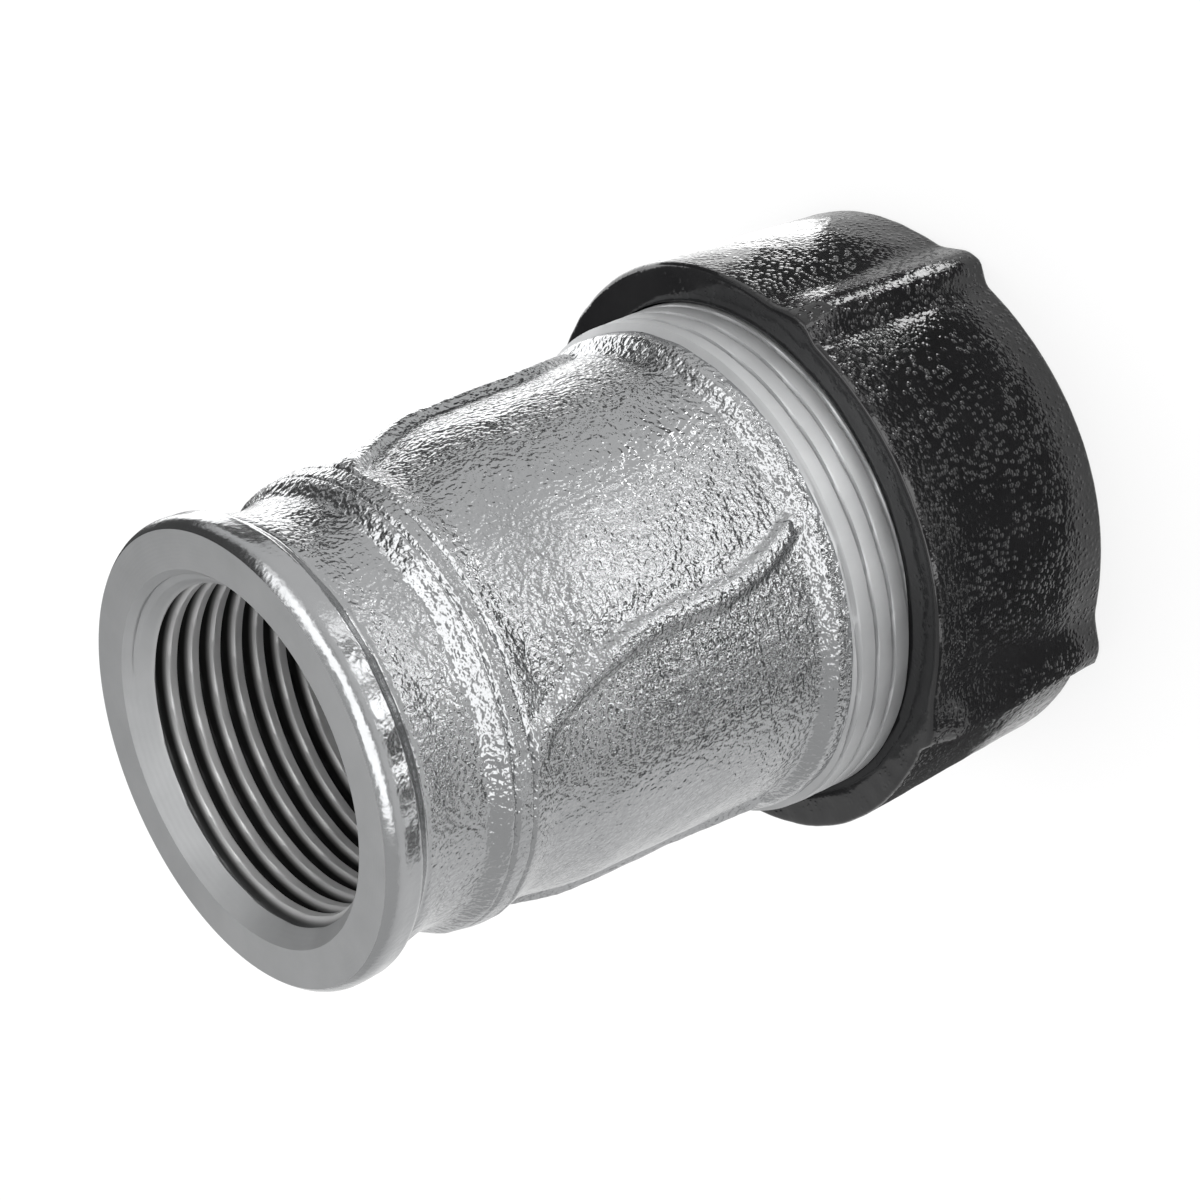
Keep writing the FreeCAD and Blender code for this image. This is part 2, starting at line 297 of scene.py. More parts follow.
def make_cast_skin():
    outer = FACE_RADIUS
    skin_end = TOP - 50.1 * MM
    outline = [
        (outer, TOP, 1),
        (outer, TOP - 1.6 * MM, 12),
        (outer, TOP - 5.6 * MM, 20),
        (outer, TOP - 11.0 * MM, 14),
        (outer, TOP - 17.0 * MM, 40),
        (outer, TOP - 46.5 * MM, 66),
        (outer, skin_end, 18),
        (HIDDEN_WALL, skin_end, 1),
        (HIDDEN_WALL, TOP - 1.0 * MM, 1),
    ]
    skin = turned_piece("cast_skin", outline, 400)
    reshape(skin, skin_rule)
    roughen(skin, "body_swell", 3.2 * MM, 0.22 * MM,
            lambda radius, height: height > TOP - BEAD_DEPTH or radius < HIDDEN_REACH)
    roughen(skin, "bead_swell", 4.5 * MM, 0.12 * MM,
            lambda radius, height: not TOP - BEAD_DEPTH < height < TOP - 0.3 * MM or radius < HIDDEN_REACH)
    smooth_shade(skin, 60)
    return skin


def female_thread_radius(angle, height):
    """Radius of the female pipe thread, cut open towards the face by the countersink."""
    turns = (height - THREAD_START) / THREAD_PITCH - degrees(angle) / 360
    from_root = abs(2 * (turns - floor(turns)) - 1)
    crest = ease((from_root - THREAD_ROOT_SHARE) / THREAD_FLANK_SHARE)
    thread = THREAD_BORE + THREAD_DEPTH * (1 - crest)
    cone = COUNTERSINK - (COUNTERSINK - THREAD_BORE) * (TOP - height) / COUNTERSINK_DEPTH
    return max(thread, cone)


def make_female_end():
    thread_end = TOP - THREAD_LENGTH
    relief_end = thread_end - RELIEF_LENGTH
    outline = [
        (FACE_RADIUS, TOP, 1),
        (COUNTERSINK, TOP, 8),
        (THREAD_BORE, TOP - COUNTERSINK_DEPTH, 22),
        (THREAD_BORE, thread_end, 130),
        (RELIEF_RADIUS, thread_end, 2),
        (RELIEF_RADIUS, relief_end, 6),
        (WATERWAY_RADIUS, relief_end - 2.0 * MM, 4),
        (WATERWAY_RADIUS, SOCKET_STOP, 3),
        (HIDDEN_WALL, SOCKET_STOP, 2),
        (HIDDEN_WALL, TOP - 1.2 * MM, 1),
    ]

    def rule(radius, angle, height):
        on_thread = thread_end < height < TOP and radius < HIDDEN_WALL - 1.0 * MM
        return female_thread_radius(angle, height) if on_thread else radius

    end = turned_piece("female_end", outline, 320)
    reshape(end, rule)
    smooth_shade(end, 35)
    return end


def male_thread_radius(angle, height):
    """Radius of the clamp thread: broad crowned crests between narrow grooves."""
    turns = (height - GROOVE_START) / MALE_PITCH - degrees(angle) / 360
    from_groove = abs(turns - round(turns)) * MALE_PITCH
    groove = GROOVE_DEPTH * ease(1 - from_groove / GROOVE_HALF_WIDTH)
    crown = CREST_CROWN * (1 - from_groove / (MALE_PITCH / 2)) ** 2
    return MALE_RADIUS - groove - crown


def make_clamp_thread():
    lead = 1.2 * MM
    outline = [
        (HIDDEN_WALL, MALE_TOP + 1.4 * MM, 1),
        (22.4 * MM, MALE_TOP + 1.4 * MM, 1),
        (22.6 * MM, MALE_TOP, 2),
        (MALE_RADIUS, MALE_TOP - 0.5 * MM, 5),
        (MALE_RADIUS, BODY_END + lead, 128),
        (MALE_RADIUS - lead, BODY_END, 8),
        (SEAT_MOUTH, BODY_END, 2),
        (SOCKET_RADIUS, SEAT_TOP, 4),
        (SOCKET_RADIUS, SOCKET_STOP, 4),
        (HIDDEN_WALL, SOCKET_STOP, 1),
    ]

    def rule(radius, angle, height):
        if radius < SEAT_MOUTH + 1.0 * MM:
            return radius
        return min(radius, male_thread_radius(angle, height))

    thread = turned_piece("clamp_thread", outline, 320)
    reshape(thread, rule)
    smooth_shade(thread, 35)
    return thread


# Black nut

def lug_share(angle, radius):
    """How much of its full height the nearest lug has at an angle. One flank is steeper."""
    spacing = 2 * pi / LUG_COUNT
    across = ((angle + spacing / 2) % spacing - spacing / 2) * radius
    reach = LUG_GRADUAL_SIDE if across > 0 else LUG_STEEP_SIDE
    return ease((reach - abs(across)) / (reach - LUG_HALF_CREST)) ** 1.25


def nut_outer_radius(angle, height):
    share = height / NUT_TOP
    wall = NUT_BOTTOM_RADIUS + (NUT_TOP_RADIUS - NUT_BOTTOM_RADIUS) * share
    # Towards the front face the lugs sink to half their height.
    lug = lug_share(angle, wall) * (0.5 + 0.5 * ease((NUT_TOP - height) / LUG_RUN_OUT))
    wall += (LUG_RADIUS - NUT_TOP_RADIUS) * lug + NUT_CROWN * sin(2 * angle) ** 2 * (1 - lug)
    from_edge = min(max(min(height, NUT_TOP - height) / NUT_EDGE, 0.0), 1.0)
    return wall - NUT_EDGE * (1 - (1 - (1 - from_edge) ** 2) ** 0.5)


def make_nut_casting():
    edge = NUT_EDGE
    outer = NUT_TOP_RADIUS
    outline = [
        (NUT_MOUTH, NUT_TOP, 1),
        (outer - edge, NUT_TOP, 6),
        (outer, NUT_TOP - edge, 9),
        (outer, edge, 40),
        (outer - edge, 0, 9),
        (NUT_ENTRY + 0.8 * MM, 0, 10),
        (NUT_ENTRY, 0.8 * MM, 3),
        (NUT_ENTRY, 2.2 * MM, 2),
        (19.2 * MM, 2.2 * MM, 2),
        (CHAMBER_RADIUS, grip_box[1].z - 0.3 * MM, 5),
        (CHAMBER_RADIUS, NUT_THREAD_END, 2),
        (MALE_RADIUS, NUT_THREAD_END, 1),
        (MALE_RADIUS, NUT_TOP - 0.8 * MM, 92),
        (NUT_MOUTH, NUT_TOP, 6),
    ]

    def rule(radius, angle, height):
        if radius > NUT_MOUTH + 0.1 * MM:
            if min(height, NUT_TOP - height) < 0.001 * MM:
                return spread_face(radius, angle, height)
            return nut_outer_radius(angle, height)
        if radius > MALE_RADIUS - 0.1 * MM and NUT_THREAD_END + 0.1 * MM < height < NUT_TOP - 0.01 * MM:
            return max(male_thread_radius(angle, height) + NUT_FIT, radius - 1.2 * MM)
        return radius

    def spread_face(radius, angle, height):
        """The end faces stretch outwards to the foot of the edge round, lugs and all."""
        inner = NUT_MOUTH if height > NUT_TOP / 2 else NUT_ENTRY + 0.8 * MM
        share = (radius - inner) / (outer - edge - inner)
        return inner + (nut_outer_radius(angle, height) - inner) * share

    nut = turned_piece("nut_casting", outline, 400)
    reshape(nut, rule)
    roughen(nut, "nut_swell", 2.6 * MM, 0.14 * MM,
            lambda radius, height: radius < NUT_MOUTH + 0.2 * MM or height < 0.1 * MM)
    smooth_shade(nut, 50)
    return nut


# Rings inside the nut

def make_grip_band():
    """The split clamp ring, with sharp ring-shaped teeth that lean into the pipe."""
    low, high = grip_box[0].z, grip_box[1].z
    large = -grip_box[0].x
    small = large - GRIP_CONE_RISE
    tip = GRIP_TOOTH_TIP
    root = tip + GRIP_TOOTH_DEPTH
    pitch = (high - low) / GRIP_TEETH
    round_off = 0.25 * MM
    outline = [
        (large - round_off, high, 1),
        (large, high - round_off, 1),
        (small, low + round_off, 6),
        (small - round_off, low, 1),
        (root, low, 2),
    ]
    for tooth in range(GRIP_TEETH):
        outline.append((tip, low + pitch * (tooth + 0.75), 2))
        outline.append((root, low + pitch * (tooth + 1), 1))
    ring = turned_piece("grip_band", outline, 192, gap=GRIP_SPLIT / (tip + large) * 2)
    smooth_shade(ring, 30)
    return ring


def make_pressure_washer():
    low, high = pressure_box[0].z, pressure_box[1].z
    inner, outer = PRESSURE_BORE, pressure_box[1].x
    chamfer = 0.25 * MM
    outline = [
        (inner + chamfer, low, 1),
        (outer - chamfer, low, 5),
        (outer, low + chamfer, 2),
        (outer, high - chamfer, 2),
        (outer - chamfer, high, 2),
        (inner + chamfer, high, 5),
        (inner, high - chamfer, 2),
        (inner, low + chamfer, 2),
    ]
    ring = turned_piece("pressure_washer", outline, 192)
    smooth_shade(ring, 30)
    return ring


def make_seal():
    """The rubber seal, with two shallow sealing lips round its bore."""
    low, high = seal_box[0].z, seal_box[1].z
    outer = seal_box[1].x
    inner = SEAL_BORE
    nose = outer - (high - (BODY_END - 2.6 * MM)) * (SEAT_MOUTH - SOCKET_RADIUS) / SEAT_DEPTH
    outline = [
        (inner + 0.3 * MM, low, 1),
        (outer - 0.3 * MM, low, 5),
        (outer, low + 0.3 * MM, 2),
        (nose, high - 0.2 * MM, 12),
        (nose - 0.15 * MM, high, 2),
        (inner + 0.25 * MM, high, 1),
        (inner, high - 0.5 * MM, 2),
    ]
    for groove in (0.68, 0.36):
        middle = low + (high - low) * groove
        outline.append((inner, middle + 0.45 * MM, 1))
        outline.append((inner + 0.35 * MM, middle, 2))
        outline.append((inner, middle - 0.45 * MM, 2))
    outline.append((inner, low + 0.3 * MM, 1))
    ring = turned_piece("rubber_seal", outline, 192)
    smooth_shade(ring, 40)
    return ring


# Materials

def new_material(name):
    material = bpy.data.materials.new(name)
    material.use_nodes = True
    nodes = material.node_tree.nodes
    shader = nodes["Principled BSDF"]
    return material, nodes, material.node_tree.links, shader


def new_group(name, inputs, outputs):
    """A node group with named number inputs, each with its default, and named outputs."""
    group = bpy.data.node_groups.new(name, "ShaderNodeTree")
    group.interface.new_socket("Position", in_out="INPUT", socket_type="NodeSocketVector")
    for label, default in inputs:
        socket = group.interface.new_socket(label, in_out="INPUT", socket_type="NodeSocketFloat")
        socket.default_value = default
    for label in outputs:
        group.interface.new_socket(label, in_out="OUTPUT", socket_type="NodeSocketFloat")
    entry = group.nodes.new("NodeGroupInput")
    result = group.nodes.new("NodeGroupOutput")
    return group, entry, result


def math_node(tree, operation, first, second, clamp=False):
    node = tree.nodes.new("ShaderNodeMath")
    node.operation = operation
    node.use_clamp = clamp
    for socket, value in zip(node.inputs, (first, second)):
        if isinstance(value, bpy.types.NodeSocket):
            tree.links.new(value, socket)
        else:
            socket.default_value = value
    return node.outputs[0]


def noise_node(tree, position, scale, detail=2.0, roughness=0.5, distortion=0.0):
    node = tree.nodes.new("ShaderNodeTexNoise")
    node.inputs["Detail"].default_value = detail
    node.inputs["Roughness"].default_value = roughness
    node.inputs["Distortion"].default_value = distortion
    tree.links.new(position, node.inputs["Vector"])
    if isinstance(scale, bpy.types.NodeSocket):
        tree.links.new(scale, node.inputs["Scale"])
    else:
        node.inputs["Scale"].default_value = scale
    return node.outputs["Fac"]


def make_cast_grain():
    """Orange-peel bumps of a sand casting under a coating, with broader hollows between them."""
    group, entry, result = new_group("cast_grain", [("Grain Scale", 1500), ("Hollows", 0.5)], ["Height", "Mask"])
    position = entry.outputs["Position"]
    grain = noise_node(group, position, entry.outputs["Grain Scale"], 1.0, 0.45)
    broad_scale = math_node(group, "MULTIPLY", entry.outputs["Grain Scale"], 0.36)
    hollows = noise_node(group, position, broad_scale, 1.0, 0.5)
    broad = math_node(group, "MULTIPLY", hollows, entry.outputs["Hollows"])
    height = math_node(group, "ADD", grain, broad)
    group.links.new(height, result.inputs["Height"])
    group.links.new(hollows, result.inputs["Mask"])
    return group


def make_patina():
    """Large soft clouds of slightly different tone, as on every coated metal piece."""
    group, entry, result = new_group("patina", [("Cloud Scale", 120), ("Low", 0.0), ("High", 1.0)], ["Value"])
    clouds = noise_node(group, entry.outputs["Position"], entry.outputs["Cloud Scale"], 3.0, 0.55)
    span = group.nodes.new("ShaderNodeMapRange")
    span.inputs["From Min"].default_value = 0.3
    span.inputs["From Max"].default_value = 0.7
    group.links.new(clouds, span.inputs["Value"])
    group.links.new(entry.outputs["Low"], span.inputs["To Min"])
    group.links.new(entry.outputs["High"], span.inputs["To Max"])
    group.links.new(span.outputs["Result"], result.inputs["Value"])
    return group


def place_group(material, group, position, **values):
    node = material.node_tree.nodes.new("ShaderNodeGroup")
    node.node_tree = group
    material.node_tree.links.new(position, node.inputs["Position"])
    for label, value in values.items():
        node.inputs[label.replace("_", " ")].default_value = value
    return node


def object_position(nodes):
    return nodes.new("ShaderNodeTexCoord").outputs["Object"]


def axis_part(material, position, axis):
    """One coordinate of a position."""
    parts = material.node_tree.nodes.new("ShaderNodeSeparateXYZ")
    material.node_tree.links.new(position, parts.inputs[0])
    return parts.outputs[axis]


def distance_from_axis(material, position):
    nodes, links = material.node_tree.nodes, material.node_tree.links
    flat = nodes.new("ShaderNodeVectorMath")
    flat.operation = "MULTIPLY"
    flat.inputs[1].default_value = (1, 1, 0)
    links.new(position, flat.inputs[0])
    length = nodes.new("ShaderNodeVectorMath")
    length.operation = "LENGTH"
    links.new(flat.outputs["Vector"], length.inputs[0])
    return length.outputs["Value"]


def fade(material, value, start, end, low=0.0, high=1.0):
    """A mask that goes smoothly from low to high as the value goes from start to end."""
    span = material.node_tree.nodes.new("ShaderNodeMapRange")
    span.interpolation_type = "SMOOTHSTEP"
    span.inputs["From Min"].default_value = start
    span.inputs["From Max"].default_value = end
    span.inputs["To Min"].default_value = low
    span.inputs["To Max"].default_value = high
    material.node_tree.links.new(value, span.inputs["Value"])
    return span.outputs["Result"]


def add_bump(nodes, links, shader, height, distance):
    bump = nodes.new("ShaderNodeBump")
    bump.inputs["Strength"].default_value = 1.0
    bump.inputs["Distance"].default_value = distance
    links.new(height, bump.inputs["Height"])
    links.new(bump.outputs["Normal"], shader.inputs["Normal"])


def mix_colours(nodes, links, factor, low, high):
    mix = nodes.new("ShaderNodeMix")
    mix.data_type = "RGBA"
    mix.inputs["A"].default_value = (*low, 1)
    mix.inputs["B"].default_value = (*high, 1)
    links.new(factor, mix.inputs["Factor"])
    return mix.outputs["Result"]


def galvanised_cast_material(grain, patina):
    material, nodes, links, shader = new_material("galvanised_cast")
    position = object_position(nodes)
    bumps = place_group(material, grain, position, Grain_Scale=2000.0, Hollows=0.6)
    tone = place_group(material, patina, position, Cloud_Scale=90.0, Low=0.0, High=1.0)
    gloss = place_group(material, patina, position, Cloud_Scale=260.0, Low=0.17, High=0.25)
    colour = mix_colours(nodes, links, tone.outputs["Value"], (0.315, 0.32, 0.325), (0.355, 0.36, 0.365))
    links.new(colour, shader.inputs["Base Color"])
    links.new(gloss.outputs["Value"], shader.inputs["Roughness"])
    shader.inputs["Metallic"].default_value = 1.0
    # The bead was fettled, so it keeps only a trace of the grain.
    height = axis_part(material, position, "Z")
    grain_share = fade(material, height, TOP - BEAD_DEPTH - 0.6 * MM, TOP - BEAD_DEPTH + 0.2 * MM, 1.0, 0.18)
    relief = math_node(material.node_tree, "MULTIPLY", bumps.outputs["Height"], grain_share)
    add_bump(nodes, links, shader, relief, 0.2 * MM)
    return material


def galvanised_machined_material(name, patina, low, high, roughness):
    material, nodes, links, shader = new_material(name)
    position = object_position(nodes)
    tone = place_group(material, patina, position, Cloud_Scale=160.0, Low=0.0, High=1.0)
    gloss = place_group(material, patina, position, Cloud_Scale=400.0, Low=roughness, High=roughness + 0.08)
    colour = mix_colours(nodes, links, tone.outputs["Value"], low, high)
    links.new(colour, shader.inputs["Base Color"])
    links.new(gloss.outputs["Value"], shader.inputs["Roughness"])
    shader.inputs["Metallic"].default_value = 1.0
    rings = nodes.new("ShaderNodeTexWave")
    rings.wave_type = "RINGS"
    rings.rings_direction = "Z"
    rings.inputs["Scale"].default_value = 900.0
    rings.inputs["Distortion"].default_value = 1.5
    rings.inputs["Detail"].default_value = 2.0
    links.new(position, rings.inputs["Vector"])
    add_bump(nodes, links, shader, rings.outputs["Fac"], 0.004 * MM)
    return material


def painted_light_bore_material(patina):
    """The machined finish, with a painted highlight on the thread crests and painted shade in the roots and in
    the relief.
    """
    material = galvanised_machined_material(
        "galvanised_bore_painted_light", patina, (0.41, 0.415, 0.42), (0.46, 0.465, 0.47), 0.56)
    nodes, links = material.node_tree.nodes, material.node_tree.links
    shader = nodes["Principled BSDF"]
    position = object_position(nodes)
    unpainted_colour = shader.inputs["Base Color"].links[0].from_socket
    # Below the face the thread gets painted light, set by distance from the axis: crests painted light grey as a
    # highlight, roots and relief painted near black as shade.
    below_face = fade(material, axis_part(material, position, "Z"), TOP - 3.2 * MM, TOP - 1.6 * MM, 1.0, 0.0)
    root = fade(material, distance_from_axis(material, position), THREAD_BORE + 0.1 * MM, THREAD_BORE + 0.85 * MM)
    thread = mix_colours(nodes, links, root, (0.66, 0.66, 0.66), (0.035, 0.035, 0.035))
    mix = nodes.new("ShaderNodeMix")
    mix.data_type = "RGBA"
    links.new(below_face, mix.inputs["Factor"])
    links.new(unpainted_colour, mix.inputs["A"])
    links.new(thread, mix.inputs["B"])
    links.new(mix.outputs["Result"], shader.inputs["Base Color"])
    return material


def black_cast_material(grain, patina):
    """Glossy black coating over a casting, with patches of small round pips, faded to a trace on the front face.
    """
    material, nodes, links, shader = new_material("black_coated_cast")
    tree = material.node_tree
    position = object_position(nodes)
    bumps = place_group(material, grain, position, Grain_Scale=2400.0, Hollows=0.6)
    tone = place_group(material, patina, position, Cloud_Scale=120.0, Low=0.0, High=1.0)
    gloss = place_group(material, patina, position, Cloud_Scale=300.0, Low=0.1, High=0.17)
    colour = mix_colours(nodes, links, tone.outputs["Value"], (0.006, 0.006, 0.0065), (0.011, 0.011, 0.0115))
    links.new(colour, shader.inputs["Base Color"])
    links.new(gloss.outputs["Value"], shader.inputs["Roughness"])
    shader.inputs["Specular IOR Level"].default_value = 0.5
    cells = nodes.new("ShaderNodeTexVoronoi")
    cells.inputs["Scale"].default_value = 1900.0
    links.new(position, cells.inputs["Vector"])
    pips = fade(material, cells.outputs["Distance"], 0.12, 0.5, 1.0, 0.0)
    patches = fade(material, noise_node(tree, position, 330.0, 2.0), 0.4, 0.6, 0.25, 1.0)
    pips = math_node(tree, "MULTIPLY", pips, patches)
    grain_height = math_node(tree, "MULTIPLY", bumps.outputs["Height"], 0.5)
    relief = math_node(tree, "ADD", pips, grain_height)
    wall = fade(material, axis_part(material, position, "Z"), NUT_TOP - 0.7 * MM, NUT_TOP - 0.2 * MM, 1.0, 0.12)
    relief = math_node(tree, "MULTIPLY", relief, wall)
    add_bump(nodes, links, shader, relief, 0.11 * MM)
    return material


def ring_steel_material(name, low, high, roughness, patina):
    material, nodes, links, shader = new_material(name)
    position = object_position(nodes)
    tone = place_group(material, patina, position, Cloud_Scale=200.0, Low=0.0, High=1.0)
    gloss = place_group(material, patina, position, Cloud_Scale=500.0, Low=roughness, High=roughness + 0.1)
    links.new(mix_colours(nodes, links, tone.outputs["Value"], low, high), shader.inputs["Base Color"])
    links.new(gloss.outputs["Value"], shader.inputs["Roughness"])
    shader.inputs["Metallic"].default_value = 1.0
    scratches = noise_node(material.node_tree, position, 2500.0, 2.0)
    add_bump(nodes, links, shader, scratches, 0.01 * MM)
    return material


def rubber_material(patina):
    material, nodes, links, shader = new_material("matt_rubber")
    position = object_position(nodes)
    tone = place_group(material, patina, position, Cloud_Scale=250.0, Low=0.0, High=1.0)
    gloss = place_group(material, patina, position, Cloud_Scale=600.0, Low=0.62, High=0.75)
    colour = mix_colours(nodes, links, tone.outputs["Value"], (0.012, 0.012, 0.012), (0.022, 0.022, 0.021))
    links.new(colour, shader.inputs["Base Color"])
    links.new(gloss.outputs["Value"], shader.inputs["Roughness"])
    grain = noise_node(material.node_tree, position, 3000.0, 3.0)
    add_bump(nodes, links, shader, grain, 0.02 * MM)
    return material


# Studio

def make_floor():
    """A white floor that stays white to the eye and in the metal, and keeps a soft shadow."""
    deselect_everything()
    bpy.ops.mesh.primitive_plane_add(size=6.0, location=(0, 0, 0))
    ground = bpy.context.object
    ground.name = "studio_floor"
    bpy.ops.object.transform_apply(location=True, rotation=True, scale=True)
    material = bpy.data.materials.new("white_floor")
    material.use_nodes = True
    nodes, links = material.node_tree.nodes, material.node_tree.links
    nodes.clear()
    paint = nodes.new("ShaderNodeBsdfDiffuse")
    paint.inputs["Color"].default_value = (0.8, 0.8, 0.8, 1)
    glow = nodes.new("ShaderNodeEmission")
    glow.inputs["Strength"].default_value = 1.0
    path = nodes.new("ShaderNodeLightPath")
    seen = math_node(material.node_tree, "ADD", path.outputs["Is Camera Ray"], path.outputs["Is Glossy Ray"])
    seen = math_node(material.node_tree, "ADD", seen, path.outputs["Is Transmission Ray"], clamp=True)
    share = math_node(material.node_tree, "MULTIPLY", seen, 0.8)
    mix = nodes.new("ShaderNodeMixShader")
    links.new(share, mix.inputs["Fac"])
    links.new(paint.outputs["BSDF"], mix.inputs[1])
    links.new(glow.outputs["Emission"], mix.inputs[2])
    result = nodes.new("ShaderNodeOutputMaterial")
    links.new(mix.outputs["Shader"], result.inputs["Surface"])
    ground.data.materials.append(material)


def make_world():
    """A soft pale sky, which the eye, the metal and glass see as the white backdrop."""
    world = bpy.data.worlds.new("studio_sky")
    bpy.context.scene.world = world
    world.use_nodes = True
    nodes, links = world.node_tree.nodes, world.node_tree.links
    nodes.clear()
    sky = nodes.new("ShaderNodeBackground")
    sky.inputs["Color"].default_value = (1, 1, 1, 1)
    path = nodes.new("ShaderNodeLightPath")
    tree = world.node_tree
    seen = math_node(tree, "ADD", path.outputs["Is Camera Ray"], path.outputs["Is Transmission Ray"], clamp=True)
    glossy = math_node(tree, "MULTIPLY", path.outputs["Is Glossy Ray"], SKY_GLOSSY)
    strength = math_node(tree, "MAXIMUM", seen, glossy)
    strength = math_node(tree, "MAXIMUM", strength, SKY_STRENGTH)
    links.new(strength, sky.inputs["Strength"])
    result = nodes.new("ShaderNodeOutputWorld")
    links.new(sky.outputs["Background"], result.inputs["Surface"])


SKY_STRENGTH = 0.35
SKY_GLOSSY = 0.75

# Softboxes: name, azimuth, height of the middle, distance from the axis, width, height and power
LAMPS = [
    ("top_softbox", 120, 620 * MM, 300 * MM, 900 * MM, 900 * MM, 8.0),
    ("front_softbox", -50, 420 * MM, 500 * MM, 500 * MM, 400 * MM, 3.0),
]
TARGET = Vector((0, 0, 45 * MM))

# Reflector cards stand round the object, where only its reflections see them. They give the metal its
# bright and dark bands: name, first and last azimuth, inner and outer distance, low and high edge, glow.
CARDS = [
    ("band_card", 75, 104, 58 * MM, 64 * MM, 0.4 * MM, 56 * MM, 3.0),
    ("nut_glare_card_a", 42, 84, 27.6 * MM, 34 * MM, 0.4 * MM, 0.4 * MM, 4.5),
    ("nut_glare_card_b", 54, 98, 34 * MM, 42 * MM, 0.4 * MM, 0.4 * MM, 2.2),
    ("nut_glare_card_c", 66, 108, 42 * MM, 58 * MM, 0.4 * MM, 0.4 * MM, 1.2),
    ("lug_line_card_a", 2, 12, 30 * MM, 38 * MM, 0.4 * MM, 0.4 * MM, 9.0),
    ("lug_line_card_b", 10, 20, 38 * MM, 50 * MM, 0.4 * MM, 0.4 * MM, 9.0),
    ("nut_face_shade", 106, 165, 70 * MM, 70 * MM, 32 * MM, 88 * MM, 0.08),
    ("shade_card_top", 50, 73, 60 * MM, 64 * MM, 0.4 * MM, 60 * MM, 0.1),
    ("shade_card_high", 66, 110, 64 * MM, 64 * MM, 61 * MM, 135 * MM, 0.12),
    ("shade_card_brow", 36, 66, 64 * MM, 64 * MM, 82 * MM, 128 * MM, 0.12),
    ("foot_shade", -180, 55, 29.5 * MM, 50 * MM, 0.2 * MM, 0.2 * MM, 0.1),
    ("front_card_a", -6, 2, 60 * MM, 74 * MM, 0.4 * MM, 40 * MM, 3.0),
    ("front_shade_a", -14, -6, 60 * MM, 74 * MM, 0.4 * MM, 40 * MM, 0.08),
    ("front_card_b", -26, -14, 60 * MM, 74 * MM, 0.4 * MM, 40 * MM, 3.5),
    ("front_shade_b", -33, -26, 60 * MM, 74 * MM, 0.4 * MM, 40 * MM, 0.08),
    ("front_card_c", -46, -33, 60 * MM, 74 * MM, 0.4 * MM, 40 * MM, 3.5),
    ("side_shade_a", -62, -46, 60 * MM, 74 * MM, 0.4 * MM, 40 * MM, 0.08),
    ("side_card_a", -67, -62, 60 * MM, 74 * MM, 0.4 * MM, 40 * MM, 4.5),
    ("side_shade_b", -83, -67, 60 * MM, 74 * MM, 0.4 * MM, 40 * MM, 0.08),
    ("side_card_b", -87, -83, 60 * MM, 74 * MM, 0.4 * MM, 40 * MM, 3.0),
    ("side_shade_c", -104, -87, 60 * MM, 74 * MM, 0.4 * MM, 40 * MM, 0.1),
    ("eyebrow_card", -85, 34, 150 * MM, 150 * MM, 100 * MM, 212 * MM, 3.0),
    ("low_eyebrow_card", 8, 38, 150 * MM, 150 * MM, 70 * MM, 100 * MM, 1.8),
]


def on_circle(azimuth, distance, height):
    return Vector((distance * cos(radians(azimuth)), distance * sin(radians(azimuth)), height))


def make_lamp(name, azimuth, height, distance, width, tall, power):
    data = bpy.data.lights.new(name, "AREA")
    data.shape = "RECTANGLE"
    data.size = width
    data.size_y = tall
    data.energy = power
    lamp = bpy.data.objects.new(name, data)
    bpy.context.scene.collection.objects.link(lamp)
    lamp.location = on_circle(azimuth, distance, height)
    lamp.rotation_euler = (TARGET - lamp.location).to_track_quat("-Z", "Y").to_euler()
    lamp.visible_glossy = False


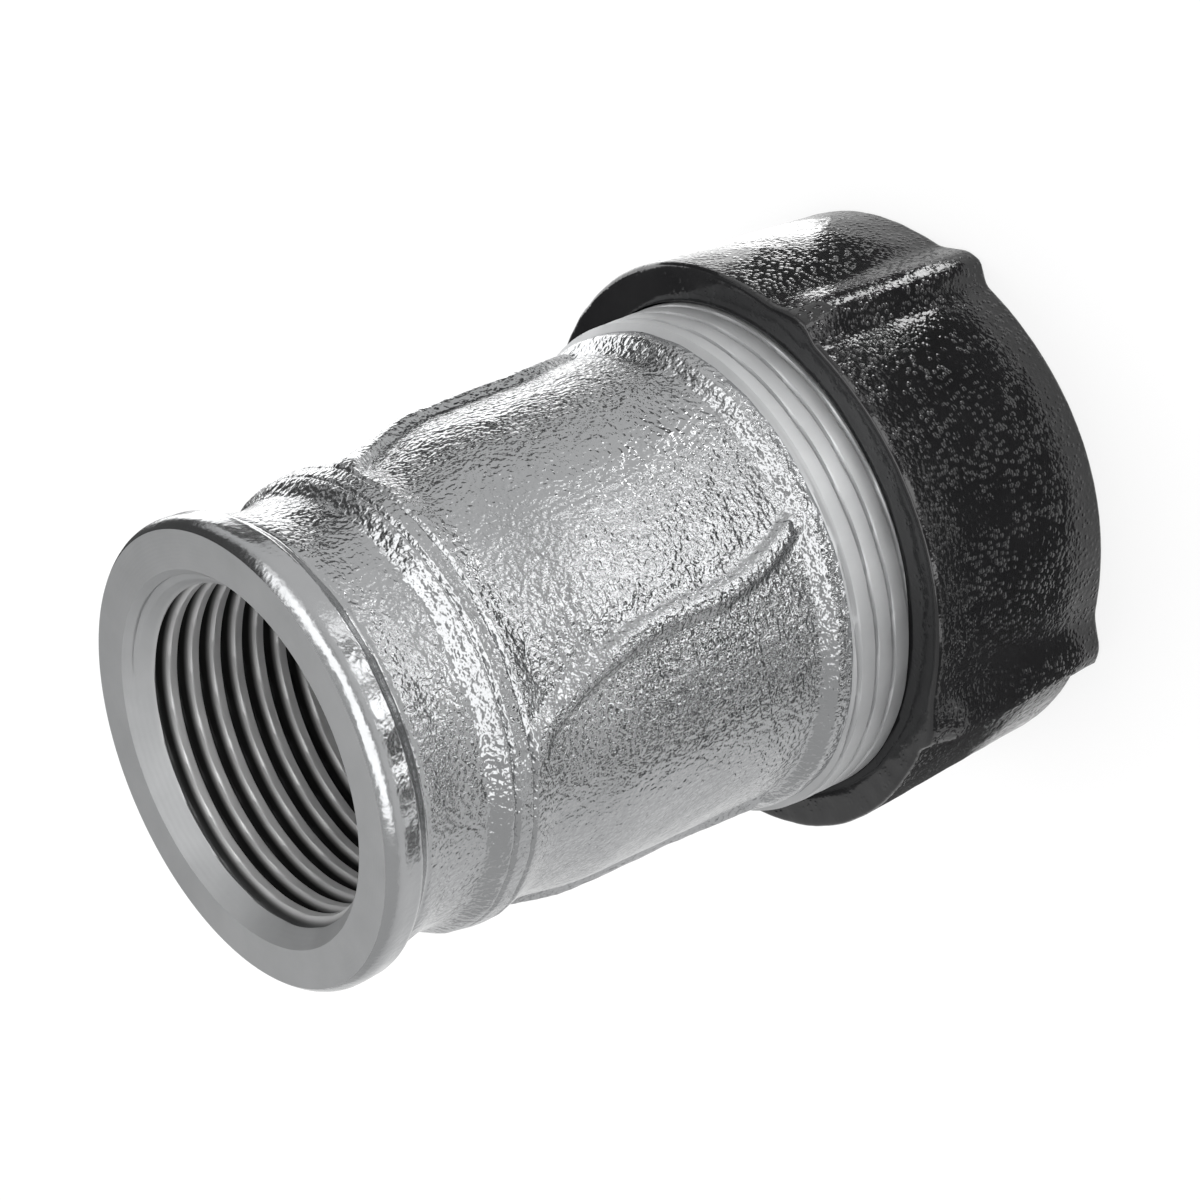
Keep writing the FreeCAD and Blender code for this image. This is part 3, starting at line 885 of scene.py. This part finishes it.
def make_card(name, start, end, inner, outer, low, high, glow):
    """A card bent round the object, with a foot on the floor where inner and outer differ."""
    deselect_everything()
    bpy.ops.mesh.primitive_plane_add(size=MM, location=on_circle(start, inner, low))
    card = bpy.context.object
    card.name = name
    bpy.ops.object.mode_set(mode="EDIT")
    bpy.ops.mesh.merge(type="CENTER")
    if outer > inner:
        outwards = on_circle(start, outer - inner, 0)
        bpy.ops.mesh.extrude_region_move(TRANSFORM_OT_translate={"value": outwards})
    if high > low:
        bpy.ops.mesh.extrude_region_move(TRANSFORM_OT_translate={"value": (0, 0, high - low)})
    bpy.ops.mesh.select_all(action="SELECT")
    bpy.ops.mesh.spin(steps=36, angle=radians(start - end), center=(0, 0, 0), axis=(0, 0, 1))
    bpy.ops.object.mode_set(mode="OBJECT")
    bpy.ops.object.transform_apply(location=True, rotation=True, scale=True)
    card.visible_camera = False
    card.visible_diffuse = False
    card.visible_shadow = False
    card.visible_transmission = False
    material = bpy.data.materials.new(name)
    material.use_nodes = True
    nodes, links = material.node_tree.nodes, material.node_tree.links
    nodes.clear()
    lit = nodes.new("ShaderNodeEmission")
    lit.inputs["Strength"].default_value = glow
    result = nodes.new("ShaderNodeOutputMaterial")
    links.new(lit.outputs["Emission"], result.inputs["Surface"])
    card.data.materials.append(material)


def make_camera():
    """The photograph's view: from above the female end, with the object's axis lying across the frame."""
    data = bpy.data.cameras.new("photo_camera")
    data.sensor_width = 36.0
    data.lens = 122.7
    data.clip_start = 0.01
    camera = bpy.data.objects.new("photo_camera", data)
    bpy.context.scene.collection.objects.link(camera)
    right = Vector((0.1874, -0.6129, -0.7677)).normalized()
    forward = Vector((-0.6812, 0.4821, -0.5511)).normalized()
    up = right.cross(forward)
    turn = Matrix((right, up, -forward)).transposed().to_4x4()
    camera.matrix_world = Matrix.Translation((0.2500, -0.1763, 0.2394)) @ turn
    bpy.context.scene.camera = camera


def dress(piece, material, body, node):
    piece.data.materials.clear()
    piece.data.materials.append(material)
    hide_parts(node)
    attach(piece, body)


make_camera()

cast_grain = make_cast_grain()
patina = make_patina()
galvanised_cast = galvanised_cast_material(cast_grain, patina)
galvanised_machined = galvanised_machined_material(
    "galvanised_machined", patina, (0.48, 0.485, 0.49), (0.54, 0.545, 0.55), 0.58)
# The bore's material paints highlights on the thread crests and shade in the roots and relief.
painted_light_bore = painted_light_bore_material(patina)
black_cast = black_cast_material(cast_grain, patina)
grip_steel = ring_steel_material("hardened_ring_steel", (0.34, 0.33, 0.30), (0.44, 0.43, 0.40), 0.28, patina)
washer_steel = ring_steel_material("plated_washer_steel", (0.48, 0.48, 0.46), (0.58, 0.58, 0.56), 0.22, patina)
rubber = rubber_material(patina)

dress(make_cast_skin(), galvanised_cast, "fitting_body", "fitting_body")
dress(make_female_end(), painted_light_bore, "fitting_body", "fitting_body")
dress(make_clamp_thread(), galvanised_machined, "fitting_body", "fitting_body")
dress(make_nut_casting(), black_cast, "clamping_nut", "clamping_nut")
dress(make_grip_band(), grip_steel, "clamp_rings", "grip_ring")
dress(make_pressure_washer(), washer_steel, "clamp_rings", "pressure_ring")
dress(make_seal(), rubber, "clamp_rings", "sealing_ring")

make_floor()
make_world()
for lamp in LAMPS:
    make_lamp(*lamp)
for card in CARDS:
    make_card(*card)

bpy.context.scene.view_settings.view_transform = "Standard"
